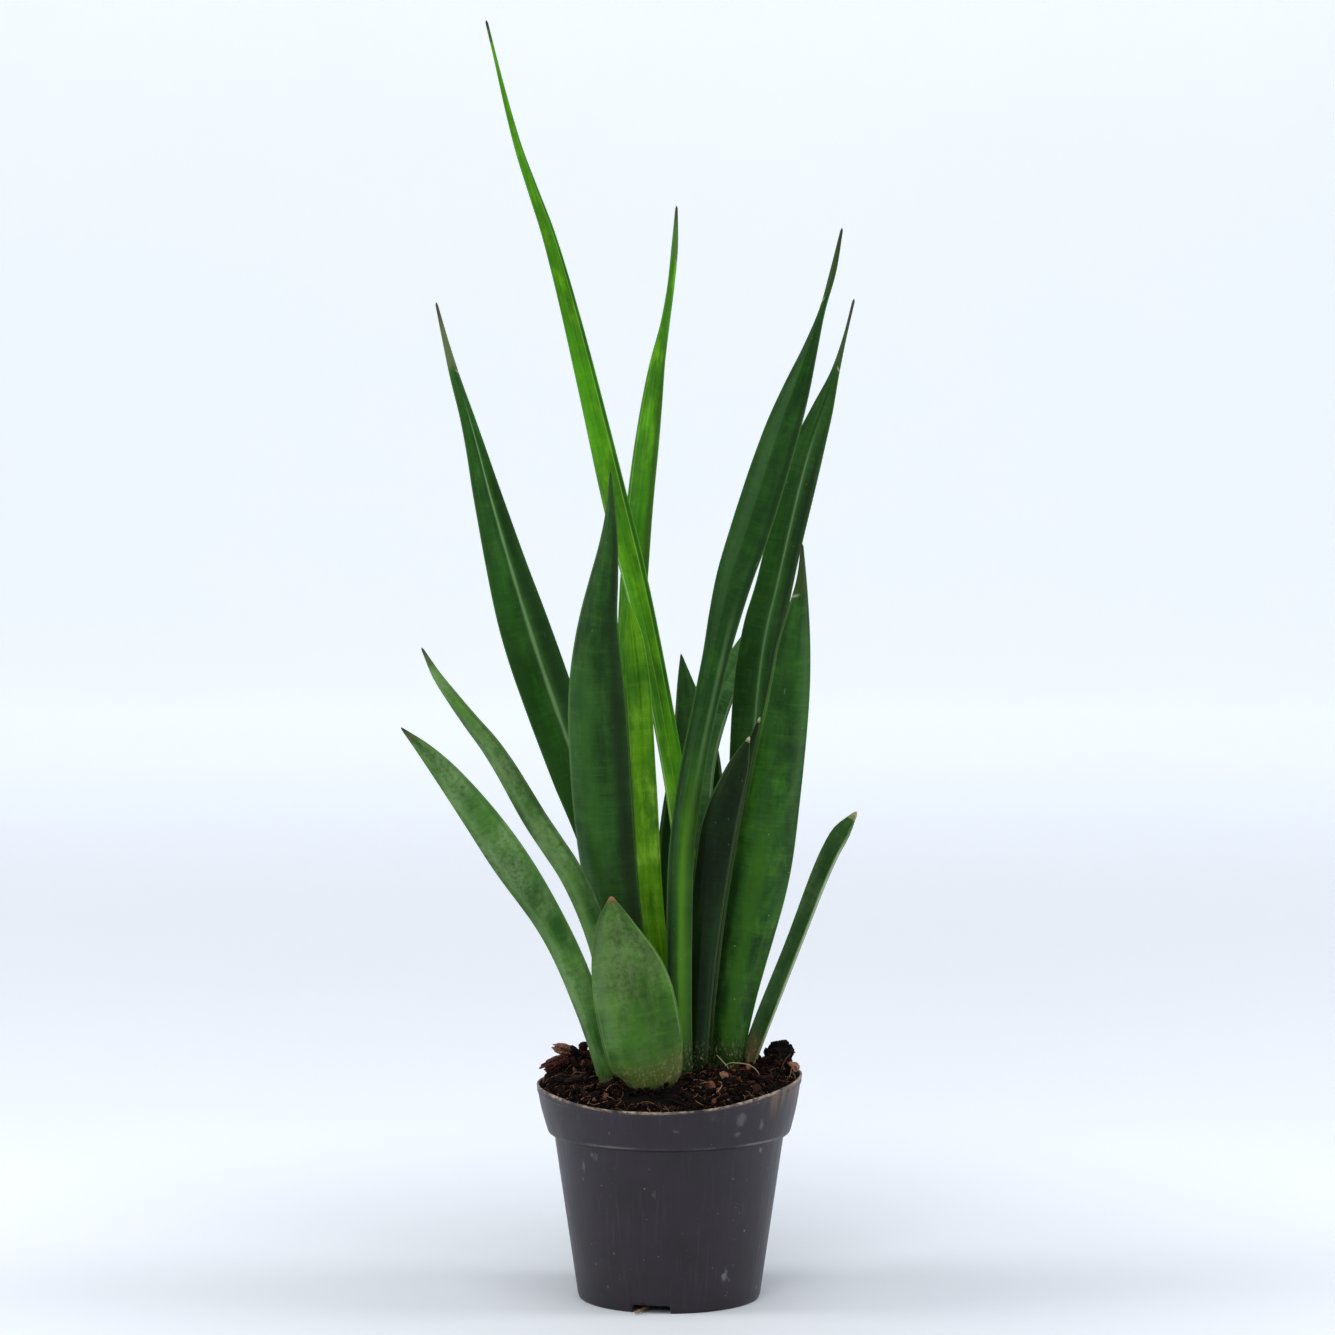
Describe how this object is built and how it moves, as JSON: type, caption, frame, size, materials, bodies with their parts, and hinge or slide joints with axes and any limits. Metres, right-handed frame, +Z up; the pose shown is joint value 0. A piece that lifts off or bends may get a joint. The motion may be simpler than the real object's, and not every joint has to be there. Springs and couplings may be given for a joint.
{
  "type": "potted snake plant",
  "caption": "Clump of upright sword-shaped leaves with pointed awl tips, rooted in bark mix in a round tapered nursery pot with a wide collar.",
  "frame": {"origin": "middle of the plant's bounding box, in the plane of the surface that the pot stands on; the pot's own axis is 15.8 mm to +X and 4.1 mm to -Y of it", "axes": "+Z up the pot's axis, +X to the right and -Y to the front of the plant, the side with the short broad leaf"},
  "size_m": [0.2024, 0.1282, 0.576],
  "materials": {
    "leaf_young": "satin, fresh yellow-green",
    "leaf_deep": "satin, deep green with a thin grey bloom",
    "leaf_dusty": "matte, older grey-green with dust and faint bands",
    "root": "matte, fibrous",
    "bark": "rough, dark bark",
    "soil": "rough, damp bark and coir mix",
    "pot": "satin charcoal with scuffs and a worn lip"
  },
  "bodies": {
    "root": {"leaf_tallest": "leaf_young", "leaf_bright_back": "leaf_young", "leaf_young_centre": "leaf_young", "leaf_broad_left": "leaf_deep", "leaf_tall_left": "leaf_deep", "leaf_tall_right": "leaf_deep", "leaf_tall_right_back": "leaf_deep", "leaf_broad_right": "leaf_deep", "leaf_nested_right": "leaf_deep", "leaf_nested_front": "leaf_deep", "leaf_dark_back": "leaf_deep", "leaf_narrow_back": "leaf_deep", "leaf_arching_left": "leaf_dusty", "leaf_low_left": "leaf_dusty", "leaf_short_front": "leaf_dusty", "leaf_folded_right": "leaf_dusty", "rhizome_left": "root", "rhizome_right": "root", "drain_root": "root", "bark_chip_1": "bark", "bark_chip_2": "bark", "bark_chip_3": "bark", "bark_chip_4": "bark", "bark_chip_5": "bark", "bark_chip_6": "bark", "bark_chip_7": "bark", "bark_chip_8": "bark", "bark_chip_9": "bark", "soil": "soil", "pot": "pot"}
  },
  "joints": []
}
